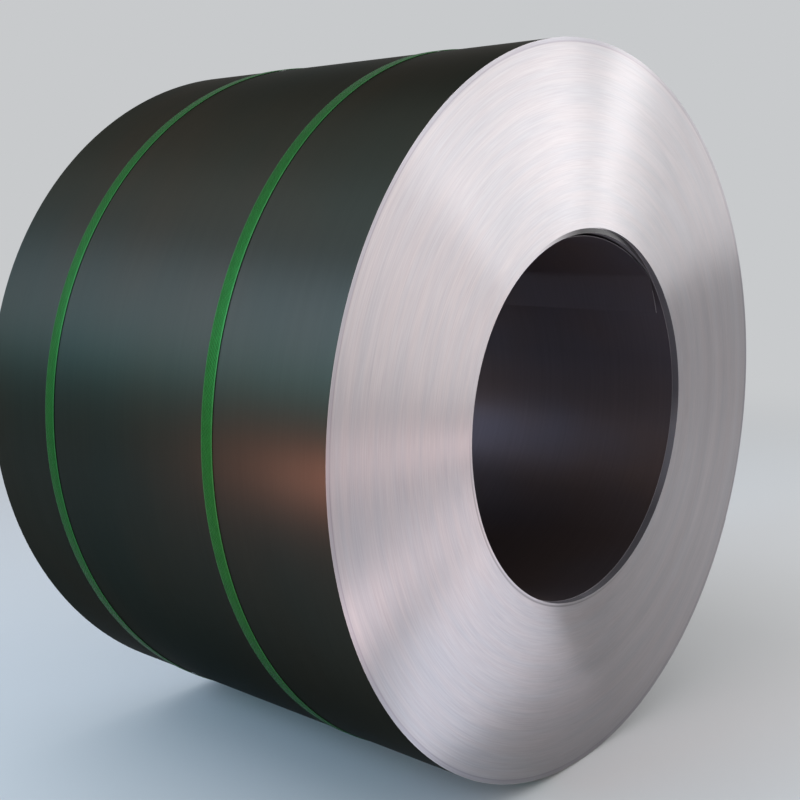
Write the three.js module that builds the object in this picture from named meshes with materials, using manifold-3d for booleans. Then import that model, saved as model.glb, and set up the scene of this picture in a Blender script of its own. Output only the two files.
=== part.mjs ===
import * as THREE from "three";
import { mergeVertices } from "three/addons/utils/BufferGeometryUtils.js";
import Module from "manifold-3d";

// A coil of slit steel strip lying on its side, held closed by two polyester straps.
//
// Sizes are in millimetres. The coil's axis runs along +Y, its front end faces -Y and +Z is up.
// The origin is on the floor, under the middle of the coil. Angles are in degrees from the top
// of the coil and grow clockwise, as seen from the front end.

// Strip and pack
const boreDiameter = 508; // inside the innermost turn
const outerDiameter = 992; // over the outer end of the strip
const stripWidth = 650;
const stripThickness = 1;

// Ends of the pack: the turns lie in groups, each slid a little along the axis
const groupTurns = 26; // turns that lie flush with each other
const groupDrift = 1.4; // most that a group lies behind the proudest one
const driftStep = 2.4; // radians of drift from one group to the next
const proudGroup = 4; // this group, counted from the bore, marks the end of the pack
const outerTurns = 5; // the last turns wound on
const outerSetback = 1.1; // how far they lie behind the end of the pack

// The strip's inner end: the innermost turn has slid out towards the rear, the second turn leads
// back to the pack, and the innermost turn is sprung off it near the end of the strip
const innerSetback = 12;
const returnSpan = 0.8; // share of the second turn over which it comes back to the pack's end
const tipAngle = 57; // inner end of the strip
const kinkAngle = 43.5; // bend left by the mandrel's gripper
const kinkDepth = 17; // gap between the tip and the second turn
const springFrom = -62; // the turn leaves the second one here and comes back to it at the kink
const springGap = 10.3; // widest gap between the sprung stretch and the second turn
const touchGap = 0.5; // gap left where the sprung stretch comes back
const innerFacets = 90;

// Outer end of the strip, and the facets of every round face
const facets = 96;
const tailFacets = 16; // facets from the strip's outer end down to the one that the coil lies on

// Straps
const strapWidth = 19;
const strapThickness = 1;
const strapGap = 0.3; // clearance between a strap and the coil
const bridgeFacets = 3; // facets over which a strap climbs onto the strip's outer end
const lapLength = 95; // welded overlap of a strap's two ends
const lapRamp = 12; // the upper end comes down to the coil over this length
const lapFacets = 8;
const frontStrapPlace = 190; // from the coil's front end to the middle of the strap, at the axis
const frontStrapLean = 2.7; // how much nearer the front end it is at the top than at the axis
const rearStrapPlace = 508;
const rearStrapLean = 17.7;
const straps = [
  { name: "strap_front", place: frontStrapPlace, lean: frontStrapLean, lapAngle: 36 },
  { name: "strap_rear", place: rearStrapPlace, lean: rearStrapLean, lapAngle: 41 },
];

// Neighbouring bodies reach this far into each other before they are joined or cut
const bite = 0.4;
const cutMargin = 20;

const outerRadius = outerDiameter / 2;
const secondRadius = boreDiameter / 2 + stripThickness; // inside the second turn, where it starts
const wallRadius = secondRadius + stripThickness; // inside the third turn, where the pack starts
const facetAngle = 360 / facets;
const tailAngle = 180 - (tailFacets + 0.5) * facetAngle;
const overallLength = stripWidth + innerSetback;

const wasm = await Module();
wasm.setup();

function polar(angle, radius) {
  const turned = THREE.MathUtils.degToRad(angle);
  return new THREE.Vector2(radius * Math.sin(turned), radius * Math.cos(turned));
}

// Share of a full turn, from 0 to 1, that lies clockwise of the strip's outer end.
function pastTail(angle) {
  return THREE.MathUtils.euclideanModulo(angle - tailAngle, 360) / 360;
}

// Extrudes an outline drawn in the plane of the coil's end, from one depth behind it to another.
function extrudeAlongAxis(shape, fromDepth, length) {
  const geometry = new THREE.ExtrudeGeometry(shape, { depth: length, bevelEnabled: false });
  return geometry.rotateX(Math.PI / 2).translate(0, fromDepth + length, 0);
}

function toSolid(geometry) {
  const bare = geometry.clone().deleteAttribute("normal").deleteAttribute("uv");
  const merged = mergeVertices(bare, 1e-4);
  const solid = new wasm.Mesh({
    numProp: 3,
    vertProperties: new Float32Array(merged.attributes.position.array),
    triVerts: new Uint32Array(merged.index.array),
  });
  return new wasm.Manifold(solid);
}

function toGeometry(solid) {
  const mesh = solid.getMesh();
  const geometry = new THREE.BufferGeometry();
  geometry.setAttribute("position", new THREE.BufferAttribute(mesh.vertProperties, 3));
  geometry.setIndex(new THREE.BufferAttribute(mesh.triVerts, 1));
  geometry.computeVertexNormals();
  return geometry;
}

// Closed outline between two curves round the axis, from one angle to another.
function bandShape(innerAt, outerAt, fromAngle, toAngle, steps) {
  const outline = [];
  for (let i = 0; i <= steps; i += 1) {
    const angle = fromAngle + ((toAngle - fromAngle) * i) / steps;
    outline.push(polar(angle, outerAt(angle)));
  }
  for (let i = steps; i >= 0; i -= 1) {
    const angle = fromAngle + ((toAngle - fromAngle) * i) / steps;
    outline.push(polar(angle, innerAt(angle)));
  }
  return new THREE.Shape(outline);
}

// Radii between the groups of turns, from the bore outwards.
function groupEdges() {
  const lastEdge = outerRadius - outerTurns * stripThickness;
  const edges = [];
  const groupWidth = groupTurns * stripThickness;
  for (let edge = secondRadius + groupWidth; edge < lastEdge; edge += groupWidth) {
    edges.push(edge);
  }
  return [...edges, lastEdge];
}

function groupSetback(group) {
  return (groupDrift * (1 - Math.cos((group - proudGroup) * driftStep))) / 2;
}

// The pack's section. The strip has one width, so a turn that lies back at the front end
// stands out by as much at the rear.
function packProfile() {
  const corners = [];
  let inner = wallRadius - cutMargin;
  groupEdges().forEach((edge, group) => {
    corners.push(new THREE.Vector2(inner, groupSetback(group)));
    corners.push(new THREE.Vector2(edge, groupSetback(group)));
    inner = edge;
  });
  corners.push(new THREE.Vector2(inner, outerSetback));
  corners.push(new THREE.Vector2(outerRadius + cutMargin, outerSetback));
  const rearCorners = corners.map((corner) => new THREE.Vector2(corner.x, corner.y + stripWidth));
  return [...corners, ...rearCorners.reverse(), corners[0].clone()];
}

// Outline of the pack as wound: both its edges are spirals that gain one strip thickness a turn,
// with a step at the strip's outer end.
function packShape() {
  const outer = [];
  for (let i = 0; i <= facets; i += 1) {
    outer.push(polar(tailAngle + i * facetAngle, outerRadius - (stripThickness * i) / facets));
  }
  const inner = [];
  for (let i = 0; i < facets; i += 1) {
    inner.push(polar(tipAngle - i * facetAngle, wallRadius + (stripThickness * i) / facets));
  }
  const shape = new THREE.Shape(outer);
  shape.holes.push(new THREE.Path(inner));
  return shape;
}

// Gap between the innermost turn and the second one; below zero, they lie on each other.
function innerGap(angle) {
  if (angle > kinkAngle) {
    return touchGap + ((kinkDepth - touchGap) * (angle - kinkAngle)) / (tipAngle - kinkAngle);
  }
  if (angle <= springFrom) {
    return -bite;
  }
  const share = (angle - springFrom) / (kinkAngle - springFrom);
  const bow = 6.75 * share ** 2 * (1 - share); // 1 at its widest, bent as a strip held at one end
  return THREE.MathUtils.lerp(-bite, touchGap, share) + springGap * bow;
}

// A length of strip through sections round the axis, each with its angle, its inner and outer
// radius and the place of its front edge.
function sweptStrip(sections) {
  const positions = [];
  for (const { angle, inner, outer, front } of sections) {
    const low = polar(angle, inner);
    const high = polar(angle, outer);
    positions.push(low.x, front, low.y, high.x, front, high.y);
    positions.push(high.x, front + stripWidth, high.y, low.x, front + stripWidth, low.y);
  }
  const last = 4 * (sections.length - 1);
  const index = [0, 2, 1, 0, 3, 2, last, last + 1, last + 2, last, last + 2, last + 3];
  for (let start = 0; start < last; start += 4) {
    for (let corner = 0; corner < 4; corner += 1) {
      const a = start + corner;
      const b = start + ((corner + 1) % 4);
      index.push(a, b, a + 4, b, b + 4, a + 4);
    }
  }
  const geometry = new THREE.BufferGeometry();
  geometry.setAttribute("position", new THREE.Float32BufferAttribute(positions, 3));
  return toSolid(geometry.setIndex(index));
}

// The innermost turn and the second one, wound counter-clockwise from the strip's inner end.
function innerTurns() {
  const innermost = [];
  const second = [];
  for (let i = 0; i <= innerFacets; i += 1) {
    const share = i / innerFacets;
    const angle = tipAngle - 360 * share;
    const between = secondRadius + stripThickness * share;
    const outer = between - innerGap(angle);
    const inner = Math.min(outer, between) - stripThickness;
    innermost.push({ angle, inner, outer, front: innerSetback });
    const back = THREE.MathUtils.smoothstep(share, 0, returnSpan);
    const front = THREE.MathUtils.lerp(innerSetback, groupSetback(0), back);
    second.push({ angle, inner: between, outer: between + stripThickness + bite, front });
  }
  return sweptStrip(innermost).add(sweptStrip(second));
}

function buildCoil() {
  const phiStart = THREE.MathUtils.degToRad(tailAngle);
  const banded = toSolid(new THREE.LatheGeometry(packProfile(), facets, phiStart));
  const wound = toSolid(extrudeAlongAxis(packShape(), -cutMargin, stripWidth + 2 * cutMargin));
  return toGeometry(banded.intersect(wound).add(innerTurns()));
}

// Inner face of a strap: it follows the coil and climbs smoothly onto the strip's outer end.
function strapInside(angle) {
  const toTail = ((1 - pastTail(angle)) * 360) / facetAngle;
  const climb = Math.max(0, 1 - toTail / bridgeFacets);
  return outerRadius + strapGap - stripThickness * (pastTail(angle) - climb);
}

function strapOutside(angle) {
  return strapInside(angle) + strapThickness;
}

function strapRing() {
  const outer = [];
  const inner = [];
  for (let i = 0; i < facets; i += 1) {
    const angle = tailAngle + i * facetAngle;
    outer.push(polar(angle, strapOutside(angle)));
    inner.unshift(polar(angle, strapInside(angle)));
  }
  const shape = new THREE.Shape(outer);
  shape.holes.push(new THREE.Path(inner));
  return toSolid(extrudeAlongAxis(shape, -strapWidth / 2, strapWidth));
}

// The strap's upper end, welded down over its lower end.
function strapLap(lapAngle) {
  const lapSpan = THREE.MathUtils.radToDeg(lapLength / outerRadius);
  const rampSpan = THREE.MathUtils.radToDeg(lapRamp / outerRadius);
  const lapEnd = lapAngle + lapSpan;
  const rise = (angle) => strapThickness * Math.min(1, (lapEnd - angle) / rampSpan);
  const lapShape = bandShape(
    (angle) => strapOutside(angle) - 2 * bite,
    (angle) => strapOutside(angle) + rise(angle),
    lapAngle,
    lapEnd,
    lapFacets,
  );
  return toSolid(extrudeAlongAxis(lapShape, -strapWidth / 2, strapWidth));
}

// A strap pulled on a little askew: its plane leans towards the front end at the top.
function buildStrap({ place, lean, lapAngle }) {
  const geometry = toGeometry(strapRing().add(strapLap(lapAngle)));
  const askew = new THREE.Matrix4().makeShear(0, 0, 0, 0, 0, -lean / outerRadius);
  return geometry.applyMatrix4(askew).translate(0, place, 0);
}

const steel = new THREE.MeshStandardMaterial({ color: "#8e9092", roughness: 0.38, metalness: 1 });
const polyester = new THREE.MeshStandardMaterial({ color: "#3f7d45", roughness: 0.45, metalness: 0 });

// The coil lies on the straps' flat facets under its axis.
const underside = strapOutside(180 - facetAngle / 2) * Math.cos(THREE.MathUtils.degToRad(facetAngle / 2));

const stripCoil = new THREE.Mesh(buildCoil(), steel);
stripCoil.name = "strip_coil";

const part = new THREE.Group();
part.position.set(0, -overallLength / 2, underside);
part.add(stripCoil);
for (const strap of straps) {
  const mesh = new THREE.Mesh(buildStrap(strap), polyester);
  mesh.name = strap.name;
  part.add(mesh);
}

export default part;
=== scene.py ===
import math
import random

import bpy
import numpy as np
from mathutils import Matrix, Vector


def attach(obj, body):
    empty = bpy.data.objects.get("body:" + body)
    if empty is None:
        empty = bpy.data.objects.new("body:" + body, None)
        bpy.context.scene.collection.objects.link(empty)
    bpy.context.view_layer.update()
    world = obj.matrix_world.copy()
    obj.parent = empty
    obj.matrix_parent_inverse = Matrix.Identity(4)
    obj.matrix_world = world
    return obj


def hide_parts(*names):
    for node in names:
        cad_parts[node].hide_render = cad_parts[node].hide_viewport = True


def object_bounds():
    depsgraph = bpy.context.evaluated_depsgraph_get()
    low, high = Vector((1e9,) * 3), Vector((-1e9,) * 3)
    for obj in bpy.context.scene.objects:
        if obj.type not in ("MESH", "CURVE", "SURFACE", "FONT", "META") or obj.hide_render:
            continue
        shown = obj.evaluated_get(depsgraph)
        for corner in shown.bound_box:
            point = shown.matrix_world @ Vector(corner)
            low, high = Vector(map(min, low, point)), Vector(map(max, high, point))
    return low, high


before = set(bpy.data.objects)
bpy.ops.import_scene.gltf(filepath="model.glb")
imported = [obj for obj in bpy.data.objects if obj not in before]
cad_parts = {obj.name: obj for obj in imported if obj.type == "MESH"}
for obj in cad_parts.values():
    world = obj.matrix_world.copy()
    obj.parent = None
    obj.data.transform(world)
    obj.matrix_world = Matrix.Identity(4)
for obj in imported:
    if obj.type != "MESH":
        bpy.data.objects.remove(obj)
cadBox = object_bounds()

# Slit coil of dark annealed steel strip on its side, held by two green polyester straps.
# Metres. The coil's axis runs along +Y and its front end faces -Y.
# Angles are degrees from the top, clockwise as seen from the front end.

coil = {
    "outerRadius": 0.496,       # over the outer end of the strip
    "wallRadius": 0.255,        # inside the second turn
    "stripWidth": 0.650,
    "stripThickness": 0.001,
    "tailAngle": 118.125,       # outer end of the strip
    "columns": 192,             # steps round the coil
    "lastTurnShort": 32,        # steps that the outermost turn lacks to be a whole one
    "groupTurns": 26,           # turns that lie flush with each other
    "groupDrift": 0.0014,       # most that a group lies behind the proudest one
    "driftStep": 2.4,           # radians of the drift's wave from one group to the next
    "proudGroup": 4,            # counted from 0 at the bore
    "outerTurns": 5,            # last turns wound on, which lie a little back
    "outerSetback": 0.0011,
    "stepSpan": 22.0,           # turns over which the strip moves from one group's place to the next
    "wander": 0.00002,          # sideways wander of the strip
    "wanderTurns": (1.3, 9.0),  # shortest and longest wave of the wander, in turns
    "wanderSeed": 7,
    "cornerLean": 22.0,         # degrees by which a cut edge with its rounded outer corner leans outwards
    "leanChange": 0.7,          # degrees by which that changes along the strip
    "leanTurns": (0.4, 7.0),    # shortest and longest wave of the change, in turns
    "leanSeed": 11,
}

strap = {
    "width": 0.019,
    "thickness": 0.001,
    "gap": 0.0003,              # between a strap and the coil
    "bridge": 11.25,            # degrees over which it climbs onto the strip's outer end
    "lapLength": 0.095,         # welded overlap of a strap's two ends
    "lapRamp": 0.012,
    "seam": 0.00003,            # left between the two ends
    "softEdge": 0.0003,         # bevel of its corners
    "wornEdge": 0.0015,         # how far in from the sides its outer face is rounded off
    "columns": 500,             # steps round it
    "places": {                 # lean: how much nearer the front its top lies than its middle
        "strapFront": {"node": "strap_front", "fromFront": 0.190, "lean": 0.0027, "lapAngle": 36.0},
        "strapRear": {"node": "strap_rear", "fromFront": 0.508, "lean": 0.0177, "lapAngle": 41.0},
    },
}

cadFacets = 96                          # of the round solids
shrink = math.cos(math.pi / cadFacets)  # keeps round faces inside those facets
frontY = cadBox[0].y                    # where the proudest group of turns lies


def pastTail(angle):
    # Share of a turn by which an angle lies past the strip's outer end.
    return ((angle - coil["tailAngle"]) % 360.0) / 360.0


def strapInside(angle):
    # The strap follows the outermost turn's spiral and climbs onto its end.
    toTail = (1.0 - pastTail(angle)) * 360.0
    climb = max(0.0, 1.0 - toTail / strap["bridge"])
    fall = coil["stripThickness"] * (pastTail(angle) - climb)
    return (coil["outerRadius"] + strap["gap"] - fall) * shrink


axisHeight = strapInside(180.0) + strap["thickness"]  # the straps lie on the floor


def polar(angle, radius, y):
    # Points round the coil's axis.
    turned = np.radians(angle)
    level = np.broadcast_to(y, np.shape(radius))
    return np.stack([radius * np.sin(turned), level, axisHeight + radius * np.cos(turned)], axis=-1)


print("frame loaded, the coil's axis is at", round(axisHeight, 4))


# Small helpers

def hexColour(code):
    # sRGB hex code to a linear colour.
    parts = [int(code[i:i + 2], 16) / 255.0 for i in (1, 3, 5)]
    linear = [p / 12.92 if p <= 0.04045 else ((p + 0.055) / 1.055) ** 2.4 for p in parts]
    return (*linear, 1.0)


def addNode(tree, kind, settings=None, links=None):
    node = tree.nodes.new(kind)
    for name, value in (settings or {}).items():
        if isinstance(name, int) or name in node.inputs:
            node.inputs[name].default_value = value
        else:
            setattr(node, name, value)
    for name, source in (links or {}).items():
        tree.links.new(source, node.inputs[name])
    return node


def newMaterial(name):
    material = bpy.data.materials.new(name)
    material.use_nodes = True
    material.node_tree.nodes.clear()
    return material, material.node_tree


def makePiece(name, verts, faces, slots, materials):
    # A piece on the part's only body, smooth but where two faces meet at more than the given angle.
    sharpAngle = 30.0
    mesh = bpy.data.meshes.new(name)
    faces = [list(map(int, face)) for face in faces]
    mesh.from_pydata(np.asarray(verts).tolist(), [], faces)
    for material in materials:
        mesh.materials.append(material)
    mesh.polygons.foreach_set("material_index", np.asarray(slots, dtype=np.int32))
    mesh.update()
    mesh.shade_smooth()
    mesh.set_sharp_from_angle(angle=math.radians(sharpAngle))
    piece = bpy.data.objects.new(name, mesh)
    bpy.context.collection.objects.link(piece)
    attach(piece, "root")
    return piece


# Materials

def coilHeading(tree):
    # Place seen from the coil's axis, direction from the axis, and distance from it.
    place = addNode(tree, "ShaderNodeTexCoord")
    centred = addNode(tree, "ShaderNodeVectorMath", {"operation": "SUBTRACT", 1: (0.0, 0.0, axisHeight)},
                      {0: place.outputs["Object"]})
    flat = addNode(tree, "ShaderNodeVectorMath", {"operation": "MULTIPLY", 1: (1.0, 0.0, 1.0)},
                   {0: centred.outputs[0]})
    heading = addNode(tree, "ShaderNodeVectorMath", {"operation": "NORMALIZE"}, {0: flat.outputs[0]})
    length = addNode(tree, "ShaderNodeVectorMath", {"operation": "LENGTH"}, {0: flat.outputs[0]})
    return centred.outputs[0], heading.outputs[0], length.outputs["Value"]


def coilAngle(tree):
    # Radians from the top, clockwise seen from the front end.
    parts = addNode(tree, "ShaderNodeSeparateXYZ", links={0: coilHeading(tree)[1]})
    angle = addNode(tree, "ShaderNodeMath", {"operation": "ARCTAN2"},
                    {0: parts.outputs["X"], 1: parts.outputs["Z"]})
    return angle.outputs[0]


def byHeading(tree, stops):
    # A value that changes round the coil; stops are degrees from the top and values up to the most.
    most = 2.0
    share = addNode(tree, "ShaderNodeMapRange", {"From Min": -math.pi, "From Max": math.pi},
                    {"Value": coilAngle(tree)})
    ramp = addNode(tree, "ShaderNodeValToRGB", links={"Fac": share.outputs[0]})
    while len(ramp.color_ramp.elements) < len(stops):
        ramp.color_ramp.elements.new(1.0)
    for element, (degrees, value) in zip(ramp.color_ramp.elements, stops):
        element.position = 0.5 + degrees / 360.0
        element.color = (value / most, value / most, value / most, 1.0)
    whole = addNode(tree, "ShaderNodeMath", {"operation": "MULTIPLY", 1: most}, {0: ramp.outputs["Color"]})
    return whole.outputs[0]


def windingCoordinates(tree, scales, acrossAxis):
    # Follows the turns: slow round the coil, quick across the strip's edge or its width.
    roundScale, acrossScale = scales
    centred, heading, across = coilHeading(tree)
    if acrossAxis == "width":
        parts = addNode(tree, "ShaderNodeSeparateXYZ", links={0: centred})
        across = parts.outputs["Y"]
    around = addNode(tree, "ShaderNodeVectorMath",
                     {"operation": "MULTIPLY", 1: (roundScale, 0.0, roundScale)}, {0: heading})
    scaled = addNode(tree, "ShaderNodeMath", {"operation": "MULTIPLY", 1: acrossScale}, {0: across})
    raised = addNode(tree, "ShaderNodeCombineXYZ", links={"Y": scaled.outputs[0]})
    joined = addNode(tree, "ShaderNodeVectorMath", {"operation": "ADD"},
                     {0: around.outputs[0], 1: raised.outputs[0]})
    return joined.outputs[0]


slitEdges = {
    "tints": ("#a5a2a4", "#afacae"),
    "streaks": (7.0, 700.0),    # round the coil, and to a metre outwards: 1.4 mm each, for turns of 1 mm
    "streakSpan": (0.3, 0.7),   # of the noise, over which one tint runs into the other
    "batchTints": ("#f8f8fa", "#fffbfb"),   # batches of turns are a little greyer or warmer
    "batches": (2.5, 110.0),    # to a metre outwards: 9 mm each
    "batchSpan": (0.35, 0.65),
    "firstTurns": 0.0042,       # on the bore, set off from the rest by a fine gap, painted as a dark line of shade
    "gapWidth": 0.0022,
    "gapFade": (0.3, 0.8),      # shares of that width over which it fades out on either side
    "gapShadeTones": [               # heading, tone: how dark the painted shade in the gap is round the coil
        (-180.0, 0.65), (-165.0, 0.55), (-150.0, 0.58), (-105.0, 0.66), (-80.0, 1.0), (150.0, 1.0),
        (180.0, 0.65),
    ],
    "looseTurns": (0.0002, 0.0076),     # inwards from the wall, where the second turn is sprung off it
    "sprungEdgeShade": [             # heading, tone of its edge: painted shade, darkest at the top, where it lies deep
        (-180.0, 1.0), (-30.0, 1.0), (-20.0, 0.6), (-12.0, 0.26), (-6.0, 0.1), (8.0, 0.09), (15.0, 0.16),
        (22.0, 0.26), (57.0, 0.22), (75.0, 1.0), (180.0, 1.0),
    ],
    "rimRange": (0.48, 0.5),
    "rimTones": [               # radius, tone: the last turns are duller and lie apart
        (0.4885, "#ffffff"), (0.4896, "#e2e0e4"), (0.4904, "#e2e0e4"), (0.4912, "#eff0f4"),
        (0.4942, "#eff0f4"), (0.4950, "#ffffff"),
    ],
    "roughness": 0.36,
    "stretch": 0.8,             # of the highlights, turned from round the coil to along its radius
}


def slitTint(tree):
    # Streaks of single turns, greyer and warmer batches of them, and the duller last turns.
    look = slitEdges
    streaks = addNode(tree, "ShaderNodeTexNoise", {"Scale": 1.0, "Detail": 2.0, "Roughness": 0.6},
                      {"Vector": windingCoordinates(tree, look["streaks"], "radius")})
    tint = addNode(tree, "ShaderNodeValToRGB", links={"Fac": streaks.outputs["Fac"]})
    for element, position, colour in zip(tint.color_ramp.elements, look["streakSpan"], look["tints"]):
        element.position = position
        element.color = hexColour(colour)
    batches = addNode(tree, "ShaderNodeTexNoise", {"Scale": 1.0, "Detail": 1.0},
                      {"Vector": windingCoordinates(tree, look["batches"], "radius")})
    batch = addNode(tree, "ShaderNodeValToRGB", links={"Fac": batches.outputs["Fac"]})
    for element, position, colour in zip(batch.color_ramp.elements, look["batchSpan"], look["batchTints"]):
        element.position = position
        element.color = hexColour(colour)
    batched = addNode(tree, "ShaderNodeVectorMath", {"operation": "MULTIPLY"},
                      {0: tint.outputs["Color"], 1: batch.outputs["Color"]})
    low, high = look["rimRange"]
    place = addNode(tree, "ShaderNodeMapRange", {"From Min": low, "From Max": high},
                    {"Value": coilHeading(tree)[2]})
    rim = addNode(tree, "ShaderNodeValToRGB", links={"Fac": place.outputs[0]})
    while len(rim.color_ramp.elements) < len(look["rimTones"]):
        rim.color_ramp.elements.new(1.0)
    for element, (radius, colour) in zip(rim.color_ramp.elements, look["rimTones"]):
        element.position = (radius - low) / (high - low)
        element.color = hexColour(colour)
    rimmed = addNode(tree, "ShaderNodeVectorMath", {"operation": "MULTIPLY"},
                     {0: batched.outputs[0], 1: rim.outputs["Color"]})
    return rimmed.outputs[0]


def slitShade(tree):
    # Painted shade: the dark gap after the first turns, and the edge of the second turn where it has sprung
    # inwards and lies deep at the top.
    radius = coilHeading(tree)[2]
    fromGap = addNode(tree, "ShaderNodeMath",
                      {"operation": "SUBTRACT", 1: coil["wallRadius"] + slitEdges["firstTurns"]}, {0: radius})
    offGap = addNode(tree, "ShaderNodeMath", {"operation": "ABSOLUTE"}, {0: fromGap.outputs[0]})
    dark, clear = [share * slitEdges["gapWidth"] for share in slitEdges["gapFade"]]
    gap = addNode(tree, "ShaderNodeMapRange", {"From Min": dark, "From Max": clear, "To Max": 1.0},
                  {"Value": offGap.outputs[0], "To Min": byHeading(tree, slitEdges["gapShadeTones"])})
    nearest, farthest = slitEdges["looseTurns"]
    sprung = addNode(tree, "ShaderNodeMath",
                     {"operation": "COMPARE", 1: coil["wallRadius"] - (nearest + farthest) / 2.0,
                      2: (farthest - nearest) / 2.0}, {0: radius})
    sprungShade = addNode(tree, "ShaderNodeMix", {"data_type": "FLOAT", "A": 1.0},
                    {"Factor": sprung.outputs[0], "B": byHeading(tree, slitEdges["sprungEdgeShade"])})
    shade = addNode(tree, "ShaderNodeMath", {"operation": "MULTIPLY"},
                    {0: gap.outputs[0], 1: sprungShade.outputs["Result"]})
    return shade.outputs[0]


def slitEdgeMaterial():
    # Sheared edges of cold-rolled strip, bare and bright. Hundreds of turns, each with its
    # own rounded corners, smear every light into a fan along the radius.
    material, tree = newMaterial("shearedStripEdges")
    tone = addNode(tree, "ShaderNodeVectorMath", {"operation": "SCALE"},
                   {0: slitTint(tree), "Scale": slitShade(tree)})
    tangent = addNode(tree, "ShaderNodeTangent", {"direction_type": "RADIAL", "axis": "Y"})
    shader = addNode(tree, "ShaderNodeBsdfPrincipled",
                     {"Metallic": 1.0, "Roughness": slitEdges["roughness"],
                      "Anisotropic": slitEdges["stretch"], "Anisotropic Rotation": 0.25},
                     {"Base Color": tone.outputs[0], "Tangent": tangent.outputs["Tangent"]})
    addNode(tree, "ShaderNodeOutputMaterial", links={"Surface": shader.outputs[0]})
    return material


stripFaces = {
    "clouds": (1.1, 3.5),       # round the coil, and to a metre of its width: 290 mm each
    "cloudSpan": (0.34, 0.66),  # of the noise, over which one tint runs into the other
    "lines": (1.6, 260.0),      # to a metre of its width: 4 mm each, far coarser than real rolling lines
    "lineSpan": (0.3, 0.7),
    "lineTones": (0.95, 1.05),
    "roughness": 0.45,
    "stretch": 0.7,             # of the highlights across the rolling lines
    "outside": {
        "tints": ("#3e3c36", "#363b37"),
        "grazing": "#a1a1a1",   # what it gives back of light that skims it: patchy if darker than #a0a0a0
        "bare": 1.0,            # share that shines as bare metal
    },
    "bore": {
        "tints": ("#5a4d4c", "#544f57"),
        "grazing": "#a8a8a8",
        "bare": 0.75,           # the rest is under a film of oil, which lights up from any side
        "wallShadeAndBands": [                # heading, tone: painted shade, darkest at the bottom and dimmer behind the bent tip, and a painted reflection band near 105 degrees
            (-180.0, 0.55), (-140.0, 0.6), (-100.0, 0.9), (42.0, 1.0), (45.0, 0.88), (56.0, 0.88),
            (59.0, 1.0), (78.0, 0.85), (92.0, 1.0), (103.0, 1.2), (118.0, 1.12), (130.0, 0.8),
            (145.0, 0.6), (180.0, 0.55),
        ],
        "marginDepth": 0.0122,  # painted lighter, as lit, where the innermost turn has slid back
        "marginLitTint": "#716f75",
        "marginLight": [             # heading, tone of that margin's painted light
            (-180.0, 1.2), (-100.0, 0.9), (0.0, 1.5), (32.0, 1.5), (48.0, 0.95), (88.0, 0.8), (100.0, 1.6),
            (120.0, 1.5), (132.0, 0.95), (158.0, 1.0), (180.0, 1.5),
        ],
    },
}


def stripTone(tree, tints):
    # Tinted by the annealing in long clouds, with faint rolling lines round the coil.
    clouds = addNode(tree, "ShaderNodeTexNoise", {"Scale": 1.0, "Detail": 2.0},
                     {"Vector": windingCoordinates(tree, stripFaces["clouds"], "width")})
    tint = addNode(tree, "ShaderNodeValToRGB", links={"Fac": clouds.outputs["Fac"]})
    for element, position, colour in zip(tint.color_ramp.elements, stripFaces["cloudSpan"], tints):
        element.position = position
        element.color = hexColour(colour)
    lines = addNode(tree, "ShaderNodeTexNoise", {"Scale": 1.0, "Detail": 3.0, "Roughness": 0.6},
                    {"Vector": windingCoordinates(tree, stripFaces["lines"], "width")})
    low, high = stripFaces["lineSpan"]
    darker, lighter = stripFaces["lineTones"]
    shade = addNode(tree, "ShaderNodeMapRange",
                    {"From Min": low, "From Max": high, "To Min": darker, "To Max": lighter},
                    {"Value": lines.outputs["Fac"]})
    tone = addNode(tree, "ShaderNodeVectorMath", {"operation": "SCALE"},
                   {0: tint.outputs["Color"], "Scale": shade.outputs[0]})
    return tone.outputs[0]


def boreTone(tree, look):
    # Painted shade and a painted reflection band round the wall, and a margin along its front edge painted
    # lighter, as where light falls on it.
    shadedWall = addNode(tree, "ShaderNodeVectorMath", {"operation": "SCALE"},
                    {0: stripTone(tree, look["tints"]), "Scale": byHeading(tree, look["wallShadeAndBands"])})
    # The margin's tone is painted light: lighter where light falls on it round the coil.
    bare = addNode(tree, "ShaderNodeVectorMath", {"operation": "SCALE", 0: hexColour(look["marginLitTint"])[:3]},
                   {"Scale": byHeading(tree, look["marginLight"])})
    place = addNode(tree, "ShaderNodeTexCoord")
    parts = addNode(tree, "ShaderNodeSeparateXYZ", links={0: place.outputs["Object"]})
    inMargin = addNode(tree, "ShaderNodeMath", {"operation": "LESS_THAN", 1: frontY + look["marginDepth"]},
                       {0: parts.outputs["Y"]})
    tone = addNode(tree, "ShaderNodeMix", {"data_type": "RGBA"},
                   {"Factor": inMargin.outputs[0], "A": shadedWall.outputs[0], "B": bare.outputs[0]})
    return tone.outputs["Result"]


def stripFaceMaterial(name, look):
    # Black-annealed strip: a dark satin grey whose highlights run across the rolling lines.
    material, tree = newMaterial(name)
    tone = boreTone(tree, look) if "wallShadeAndBands" in look else stripTone(tree, look["tints"])
    tangent = addNode(tree, "ShaderNodeTangent", {"direction_type": "RADIAL", "axis": "Y"})
    shader = addNode(tree, "ShaderNodeBsdfPrincipled",
                     {"Metallic": look["bare"], "Roughness": stripFaces["roughness"],
                      "Specular Tint": hexColour(look["grazing"]),
                      "Anisotropic": stripFaces["stretch"], "Anisotropic Rotation": 0.25},
                     {"Base Color": tone, "Tangent": tangent.outputs["Tangent"]})
    addNode(tree, "ShaderNodeOutputMaterial", links={"Surface": shader.outputs[0]})
    return material


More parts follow.
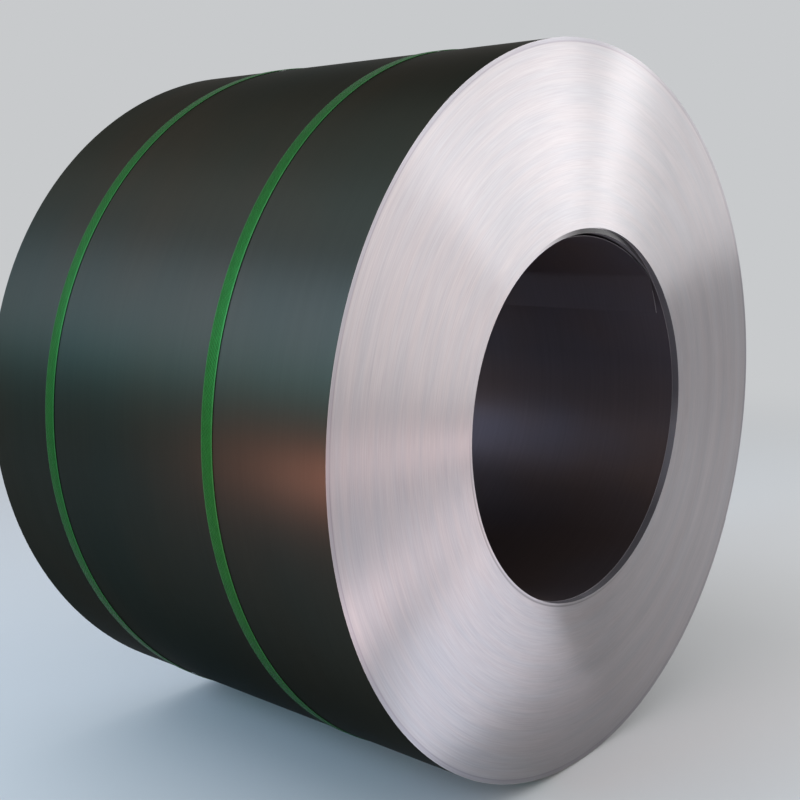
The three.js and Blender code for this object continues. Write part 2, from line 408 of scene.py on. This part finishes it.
strapFinish = {
    "tints": ("#1a4f1f", "#215f27"),
    "litEdgeTints": ("#2b6231", "#37703c"),    # painted highlight: paler on its sides, as where the front light catches them
    "mottle": (40.0, 200.0),    # round the coil, and to a metre of its width: 5 mm each
    "grazing": "#707070",
    "pearl": 0.45,              # share of its shine that is green: stretched strapping has a pearly one
    "gloss": 0.15,
    "roughness": 0.38,
    "embossPitch": 0.005,       # drawn twice as coarse as on a real strap, so that it can be seen
    "embossDepth": 0.00025,
    "embossStrength": 0.6,
}


def embossing(tree):
    # A waffle of small raised diamonds, as rolled into the strap.
    place = addNode(tree, "ShaderNodeTexCoord")
    parts = addNode(tree, "ShaderNodeSeparateXYZ", links={0: place.outputs["Object"]})
    waves = math.tau / strapFinish["embossPitch"]
    along = addNode(tree, "ShaderNodeMath", {"operation": "MULTIPLY", 1: waves * coil["outerRadius"]},
                    {0: coilAngle(tree)})
    across = addNode(tree, "ShaderNodeMath", {"operation": "MULTIPLY", 1: waves}, {0: parts.outputs["Y"]})
    sines = []
    for value in (along, across):
        sines.append(addNode(tree, "ShaderNodeMath", {"operation": "SINE"}, {0: value.outputs[0]}).outputs[0])
    height = addNode(tree, "ShaderNodeMath", {"operation": "MULTIPLY"}, {0: sines[0], 1: sines[1]})
    bump = addNode(tree, "ShaderNodeBump",
                   {"Strength": strapFinish["embossStrength"], "Distance": strapFinish["embossDepth"]},
                   {"Height": height.outputs[0]})
    return bump.outputs["Normal"]


def strapMaterial(name, tints, embossed):
    # Polyester strapping, extruded and stretched: a mid green with a soft, pearly gloss.
    material, tree = newMaterial(name)
    mottle = addNode(tree, "ShaderNodeTexNoise", {"Scale": 1.0, "Detail": 1.0},
                     {"Vector": windingCoordinates(tree, strapFinish["mottle"], "width")})
    tone = addNode(tree, "ShaderNodeValToRGB", links={"Fac": mottle.outputs["Fac"]})
    for element, colour in zip(tone.color_ramp.elements, tints):
        element.color = hexColour(colour)
    shader = addNode(tree, "ShaderNodeBsdfPrincipled",
                     {"Metallic": strapFinish["pearl"], "Roughness": strapFinish["roughness"],
                      "Specular IOR Level": strapFinish["gloss"],
                      "Specular Tint": hexColour(strapFinish["grazing"])},
                     {"Base Color": tone.outputs["Color"]})
    if embossed:
        tree.links.new(embossing(tree), shader.inputs["Normal"])
    addNode(tree, "ShaderNodeOutputMaterial", links={"Surface": shader.outputs[0]})
    return material


outsideFace = stripFaceMaterial("blackAnnealedStrip", stripFaces["outside"])
boreFace = stripFaceMaterial("oiledBoreStrip", stripFaces["bore"])
slitEdge = slitEdgeMaterial()
strapFlat = strapMaterial("embossedPolyesterStrap", strapFinish["tints"], True)
# The strap's sides carry a painted highlight.
strapEdge = strapMaterial("polyesterStrapEdge", strapFinish["litEdgeTints"], False)
print("materials made")


# Coil

columns = coil["columns"]
startAngle = coil["tailAngle"] - 360.0 * coil["lastTurnShort"] / columns
turnCount = round((coil["outerRadius"] - coil["wallRadius"]) / coil["stripThickness"])
lastStep = turnCount * columns - coil["lastTurnShort"]       # on the outside of the outermost turn
pitch = (coil["outerRadius"] - coil["wallRadius"]) * columns / lastStep
mostRipple = 3.0


def ripple(turns, waveTurns, seed):
    # Smooth seeded wander along the strip, about 1 high, with waves of the given range of lengths.
    random.seed(seed)
    waves = 24
    shortest, longest = waveTurns
    height = np.zeros_like(turns)
    for wave in range(waves):
        length = shortest * (longest / shortest) ** (wave / (waves - 1))
        height += math.sqrt(2.0 / waves) * np.sin(math.tau * (turns / length + random.random()))
    return np.clip(height, -mostRipple, mostRipple)


def smoothStep(x):
    x = np.clip(x, 0.0, 1.0)
    return x * x * (3.0 - 2.0 * x)


def groupSetback(group):
    return coil["groupDrift"] * (1.0 - math.cos((group - coil["proudGroup"]) * coil["driftStep"])) / 2.0


def edgeDepth(turns):
    # How far the strip's edge lies behind the proudest group, all along the strip.
    lastEdge = turnCount - coil["outerTurns"]
    edges = list(range(coil["groupTurns"], lastEdge, coil["groupTurns"])) + [lastEdge]
    depths = [groupSetback(group) for group in range(len(edges))] + [coil["outerSetback"]]
    depth = np.full_like(turns, depths[0])
    for edge, before, after in zip(edges, depths, depths[1:]):
        depth += (after - before) * smoothStep((turns - edge) / coil["stepSpan"] + 0.5)
    return depth + coil["wander"] * (mostRipple + ripple(turns, coil["wanderTurns"], coil["wanderSeed"]))


def edgeLean(turns):
    # The slitting knife rounds off the outer corner of every cut edge, a little more or less along it.
    return coil["cornerLean"] + coil["leanChange"] * ripple(turns, coil["leanTurns"], coil["leanSeed"])


def shadeEdges(mesh, endTurns):
    # The cut edges come first among the faces and get the slope of their rounded corners.
    corners = np.empty(len(mesh.loops), dtype=np.int32)
    mesh.loops.foreach_get("vertex_index", corners)
    verts = np.empty(3 * len(mesh.vertices))
    mesh.vertices.foreach_get("co", verts)
    normals = np.empty(3 * len(mesh.loops))
    mesh.corner_normals.foreach_get("vector", normals)
    normals = normals.reshape(-1, 3)
    ends = len(endTurns)
    outwards = verts.reshape(-1, 3)[corners[:ends]] - np.array([0.0, 0.0, axisHeight])
    outwards *= np.array([1.0, 0.0, 1.0])
    outwards /= np.linalg.norm(outwards, axis=1, keepdims=True)
    lean = np.tan(np.radians(edgeLean(endTurns)))[:, None]
    normals[:ends] = np.sign(normals[:ends]) * np.array([0.0, 1.0, 0.0]) + lean * outwards
    normals /= np.linalg.norm(normals, axis=1, keepdims=True)
    mesh.normals_split_custom_set(normals.tolist())


def stripRadius(angles):
    # Inside of the strip, wound outwards and counter-clockwise from its inner end.
    return (coil["wallRadius"] + pitch * (startAngle - angles) / 360.0) * shrink


def quads(*corners):
    return np.stack(corners, axis=1).tolist()


def buildPack():
    # From the third turn outwards. Neighbouring turns share the line where they meet.
    outsideSlot, edgeSlot, boreSlot = range(3)
    steps = np.arange(columns, lastStep + 1)
    turns = steps / columns
    angles = startAngle - 360.0 * turns
    radius = stripRadius(angles)
    depth = edgeDepth(turns)
    front = polar(angles, radius, frontY + depth)
    rear = polar(angles, radius, frontY + coil["stripWidth"] + depth)
    back = len(steps)           # from a point of the front to the same one of the rear
    last = back - 1
    tail = last - columns
    edge = np.arange(tail)
    bore = np.arange(columns)
    outside = np.arange(tail, last)
    faces = quads(edge, edge + columns, edge + columns + 1, edge + 1)
    faces += quads(edge + back, edge + 1 + back, edge + columns + 1 + back, edge + columns + back)
    faces += quads(bore, bore + 1, bore + 1 + back, bore + back)
    faces += quads(outside, outside + back, outside + 1 + back, outside + 1)
    faces.append([0, back, back + columns, columns])
    faces.append([tail, last, last + back, tail + back])
    slots = [edgeSlot] * (2 * len(edge)) + [boreSlot] * columns + [outsideSlot] * columns + [edgeSlot] * 2
    verts = np.concatenate([front, rear])
    piece = makePiece("coilPack", verts, faces, slots, [outsideFace, slitEdge, boreFace])
    frontSteps = edge[:, None] + np.array([0, 0, 1, 1])
    rearSteps = edge[:, None] + np.array([0, 1, 1, 0])
    shadeEdges(piece.data, np.concatenate([frontSteps.ravel(), rearSteps.ravel()]) / columns)
    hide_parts("strip_coil")
    return piece


innerTurns = {
    "setback": 0.012,           # the innermost turn has slid this far towards the rear
    "returnSpan": 0.16,         # share of the second turn over which the strip comes back
    "bulge": 0.0072,            # most by which the second turn has sprung inwards too
    "tipAngle": 57.0,           # inner end of the strip
    "kinkAngle": 43.5,          # bend left by the mandrel's gripper
    "kinkDepth": 0.017,         # how far into the bore the tip is bent
    "springFrom": -62.0,        # leaves the second turn here and comes back to it at the kink
    "springGap": 0.0103,
    "touchGap": 0.0005,         # at the kink
    "sink": 0.0002,             # where it lies on the next turn, it is let in by this much
    "columns": 288,             # steps round one turn
}


def springBow(angles):
    # 0 at both ends of the sprung stretch and 1 where it is widest, two thirds along it.
    share = (angles - innerTurns["springFrom"]) / (innerTurns["kinkAngle"] - innerTurns["springFrom"])
    share = np.clip(share, 0.0, 1.0)
    return 27.0 / 4.0 * share ** 2 * (1.0 - share)


def innerGap(angles):
    # Gap between the innermost turn and the second one's place.
    t = innerTurns
    kinked = t["touchGap"] + (t["kinkDepth"] - t["touchGap"]) * (angles - t["kinkAngle"]) / (
        t["tipAngle"] - t["kinkAngle"])
    share = (angles - t["springFrom"]) / (t["kinkAngle"] - t["springFrom"])
    sprung = -t["sink"] + (t["touchGap"] + t["sink"]) * share + t["springGap"] * springBow(angles)
    return np.where(angles > t["kinkAngle"], kinked, np.where(angles < t["springFrom"], -t["sink"], sprung))


def buildInnerTurns():
    # A strip of rectangular section, from the bent tip counter-clockwise over two turns.
    t = innerTurns
    faceSlot, edgeSlot = range(2)
    steps = 2 * t["columns"]
    angles = np.linspace(t["tipAngle"], startAngle - 720.0, steps + 1)
    turns = (t["tipAngle"] - angles) / 360.0         # 0 to 1 on the innermost turn, 1 to 2 on the second
    gap = np.where(turns < 1.0, innerGap(angles), -t["sink"] / 2.0)
    inside = stripRadius(angles + 360.0)
    bulge = np.where(turns < 1.0, 0.0, t["bulge"] * springBow(angles + 360.0))
    inner = inside - np.maximum(gap, 0.0) - bulge
    outer = inside + coil["stripThickness"] - gap
    packDepth = edgeDepth(np.array([1.0]))[0]
    depth = t["setback"] + (packDepth - t["setback"]) * smoothStep((turns - 1.0) / t["returnSpan"])
    frontEdge = frontY + depth
    rearEdge = frontEdge + coil["stripWidth"]
    loops = [polar(angles, inner, frontEdge), polar(angles, outer, frontEdge),
             polar(angles, outer, rearEdge), polar(angles, inner, rearEdge)]
    count = len(angles)
    along = np.arange(steps)
    faces, slots = [], []
    for side, slot in ((0, edgeSlot), (2, edgeSlot), (1, faceSlot), (3, faceSlot)):
        a = side * count + along
        b = (side + 1) % 4 * count + along
        faces += quads(a, b, b + 1, a + 1)
        slots += [slot] * steps
    tip = [side * count for side in (3, 2, 1, 0)]
    faces += [tip, [corner + steps for corner in reversed(tip)]]
    slots += [faceSlot] * 2
    piece = makePiece("coilInnerTurns", np.concatenate(loops), faces, slots, [boreFace, slitEdge])
    ahead = along[:, None] + np.array([0, 0, 1, 1])
    shadeEdges(piece.data, np.tile(turns[ahead.ravel()], 2))
    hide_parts("strip_coil")
    return piece


pack = buildPack()
inner = buildInnerTurns()
print("coil wound:", len(pack.data.polygons) + len(inner.data.polygons), "faces")


# Straps

def lapLift(angle, lapEnd):
    # The strap's upper end climbs onto its lower end, one full turn further on.
    ramp = math.degrees(strap["lapRamp"] / coil["outerRadius"])
    return (strap["thickness"] + strap["seam"]) * min(1.0, max(0.0, (lapEnd - 360.0 - angle) / ramp))


def buildStrap(name, place):
    # One strip, from its lower end counter-clockwise all the way round and over that end.
    flatSlot, edgeSlot = range(2)
    lapEnd = place["lapAngle"] + math.degrees(strap["lapLength"] / coil["outerRadius"])
    lowerEnd = lapEnd - math.degrees(strap["lapRamp"] / coil["outerRadius"])
    angles = np.linspace(lowerEnd, place["lapAngle"] - 360.0, strap["columns"] + 1)
    inside = np.array([strapInside(angle) + lapLift(angle, lapEnd) for angle in angles])
    half = strap["width"] / 2.0
    thick = strap["thickness"]
    soft = strap["softEdge"]
    worn = strap["wornEdge"]
    section = [(-half, soft), (-half + soft, 0.0), (half - soft, 0.0), (half, soft),
               (half, thick - soft), (half - worn, thick), (-half + worn, thick), (-half, thick - soft)]
    sideFaces = (3, 4, 6, 7)    # of the section: its two sides and the worn edges beside them
    middle = frontY + place["fromFront"]
    verts = []
    for across, out in section:
        loop = polar(angles, inside + out, middle + across)
        loop[:, 1] -= place["lean"] * (loop[:, 2] - axisHeight) / coil["outerRadius"]
        verts.append(loop)
    count = len(angles)
    corners = len(section)
    along = np.arange(count - 1)
    faces, slots = [], []
    for k in range(corners):
        a = k * count + along
        b = (k + 1) % corners * count + along
        faces += quads(a, b, b + 1, a + 1)
        slots += [edgeSlot if k in sideFaces else flatSlot] * len(along)
    faces.append([k * count for k in reversed(range(corners))])
    faces.append([k * count + count - 1 for k in range(corners)])
    slots += [edgeSlot] * 2
    piece = makePiece(name, np.concatenate(verts), faces, slots, [strapFlat, strapEdge])
    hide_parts(place["node"])
    return piece


for name, place in strap["places"].items():
    buildStrap(name, place)
print("straps tensioned")


# Studio

studio = {
    "floorColour": "#caccce",
    "backColour": "#c8cacc",
    "floorSize": 60.0,
    "floorFade": (1.2, 4.0),    # from the coil's middle, over which the floor runs into the backdrop
    "ambient": 0.55,            # even light from all round
    "ambientColour": "#ffffff",
    "lamps": [
        # name, place, target, size, watts, colour, and for the cards the degrees over which they spread
        ("rightSoftbox", (3.05, -1.3, 1.55), (0.0, -0.3, 0.5), (1.3, 1.7), 14.0, "#ffffff"),
        ("rightStrip", (3.4, -0.8, 2.5), (0.0, -0.3, 0.5), (0.2, 0.6), 2.2, "#ffffff"),
        ("frontSoftbox", (0.22, -3.27, 1.42), (0.0, -0.3, 0.5), (1.6, 2.2), 21.0, "#fff7f6"),
        ("highSoftbox", (1.65, -2.38, 2.35), (0.0, -0.3, 0.5), (2.6, 1.0), 27.0, "#ffffff"),
        ("lowStrip", (0.1, -2.2, 0.16), (0.0, -0.3, 0.5), (1.2, 0.25), 2.2, "#ffe6e6"),
        ("floorPanel", (0.15, -1.2, 0.03), (0.15, -1.2, 1.0), (0.8, 1.1), 3.4, "#fff0f0"),
        ("nearPanel", (-0.1, -0.52, 0.03), (-0.1, -0.52, 1.0), (0.5, 0.25), 0.44, "#f3f5ff"),
        ("sidePanel", (-0.6, -0.7, 0.03), (-0.6, -0.7, 1.0), (0.3, 0.3), 0.8, "#ffe8e8"),
        ("leftSoftbox", (-2.94, 0.84, 1.99), (-0.4, 0.0, 0.6), (1.6, 1.2), 40.0, "#b8dcff"),
        ("rearSoftbox", (-2.42, 2.03, 1.77), (0.0, 0.0, 0.5), (3.0, 1.6), 33.0, "#c8dfff"),
        ("upperSoftbox", (-1.89, 1.09, 3.1), (0.0, 0.0, 0.5), (1.5, 1.0), 15.0, "#e6f2ff"),
        ("topSoftbox", (-0.8, 0.2, 3.2), (0.0, 0.0, 0.5), (1.0, 1.4), 11.0, "#ffffff"),
        ("tealCard", (-3.0, 0.6, 1.1), (-0.4, 0.0, 0.6), (2.0, 0.4), 1.8, "#70f6ff", 60.0),
        ("warmCard", (-0.88, -0.29, 0.42), (0.0, -0.29, 0.5), (0.1, 0.1), 0.52, "#ffa18d", 80.0),
    ],
}


def buildFloor():
    # Pale floor that keeps the coil's shadow near it and runs into the backdrop further off.
    material, tree = newMaterial("studioFloor")
    near = addNode(tree, "ShaderNodeBsdfDiffuse", {"Color": hexColour(studio["floorColour"])})
    far = addNode(tree, "ShaderNodeEmission", {"Color": hexColour(studio["backColour"])})
    place = addNode(tree, "ShaderNodeNewGeometry")
    away = addNode(tree, "ShaderNodeVectorMath", {"operation": "LENGTH"}, {0: place.outputs["Position"]})
    low, high = studio["floorFade"]
    fade = addNode(tree, "ShaderNodeMapRange",
                   {"interpolation_type": "SMOOTHERSTEP", "From Min": low, "From Max": high},
                   {"Value": away.outputs["Value"]})
    shader = addNode(tree, "ShaderNodeMixShader",
                     links={0: fade.outputs[0], 1: near.outputs[0], 2: far.outputs[0]})
    addNode(tree, "ShaderNodeOutputMaterial", links={"Surface": shader.outputs[0]})
    half = studio["floorSize"] / 2.0
    mesh = bpy.data.meshes.new("studioFloor")
    corners = [(-half, -half, 0), (half, -half, 0), (half, half, 0), (-half, half, 0)]
    mesh.from_pydata(corners, [], [(0, 1, 2, 3)])
    mesh.materials.append(material)
    floor = bpy.data.objects.new("studioFloor", mesh)
    bpy.context.collection.objects.link(floor)


def buildWorld():
    # Even light on the coil, and a plain backdrop where it is seen directly, in metal or through glass.
    world = bpy.data.worlds.new("studioWorld")
    bpy.context.scene.world = world
    world.use_nodes = True
    tree = world.node_tree
    tree.nodes.clear()
    path = addNode(tree, "ShaderNodeLightPath")
    direct = addNode(tree, "ShaderNodeMath", {"operation": "MAXIMUM"},
                     {0: path.outputs["Is Camera Ray"], 1: path.outputs["Is Glossy Ray"]})
    seen = addNode(tree, "ShaderNodeMath", {"operation": "MAXIMUM"},
                   {0: direct.outputs[0], 1: path.outputs["Is Transmission Ray"]})
    ambient = addNode(tree, "ShaderNodeBackground",
                      {"Color": hexColour(studio["ambientColour"]), "Strength": studio["ambient"]})
    backdrop = addNode(tree, "ShaderNodeBackground",
                       {"Color": hexColour(studio["backColour"]), "Strength": 1.0})
    mix = addNode(tree, "ShaderNodeMixShader",
                  links={"Fac": seen.outputs[0], 1: ambient.outputs[0], 2: backdrop.outputs[0]})
    addNode(tree, "ShaderNodeOutputWorld", links={"Surface": mix.outputs[0]})


def addLamp(name, place, target, size, power, colour, spread=180.0):
    data = bpy.data.lights.new(name, "AREA")
    data.shape = "RECTANGLE"
    data.size, data.size_y = size
    data.energy = power
    data.color = hexColour(colour)[:3]
    data.spread = math.radians(spread)
    lamp = bpy.data.objects.new(name, data)
    lamp.location = place
    lamp.rotation_euler = (Vector(target) - Vector(place)).to_track_quat("-Z", "Y").to_euler()
    lamp.visible_camera = False
    bpy.context.collection.objects.link(lamp)


buildFloor()
buildWorld()
for lamp in studio["lamps"]:
    addLamp(*lamp)
print("studio lit")


# Camera

camera = {
    "sensor": 36.0,                             # mm, and so is the lens
    "lens": 50.445,
    "fromFace": (-2.5737, -1.6348, 0.5262),     # from the middle of the front end, in outer radii
    "pitchDown": 9.21,
    "heading": 51.9,                            # degrees from +Y towards +X
    "shift": (-0.0995, 0.0062),                 # of the frame, in frame widths
}


def buildCamera():
    data = bpy.data.cameras.new("camera")
    data.sensor_width = camera["sensor"]
    data.lens = camera["lens"]
    data.shift_x, data.shift_y = camera["shift"]
    piece = bpy.data.objects.new("camera", data)
    centre = Vector((0.0, frontY, axisHeight))
    piece.location = centre + coil["outerRadius"] * Vector(camera["fromFace"])
    piece.rotation_euler = (math.radians(90.0 - camera["pitchDown"]), 0.0, -math.radians(camera["heading"]))
    bpy.context.collection.objects.link(piece)
    bpy.context.scene.camera = piece


buildCamera()
bpy.context.scene.view_settings.view_transform = "Standard"
print("camera placed")
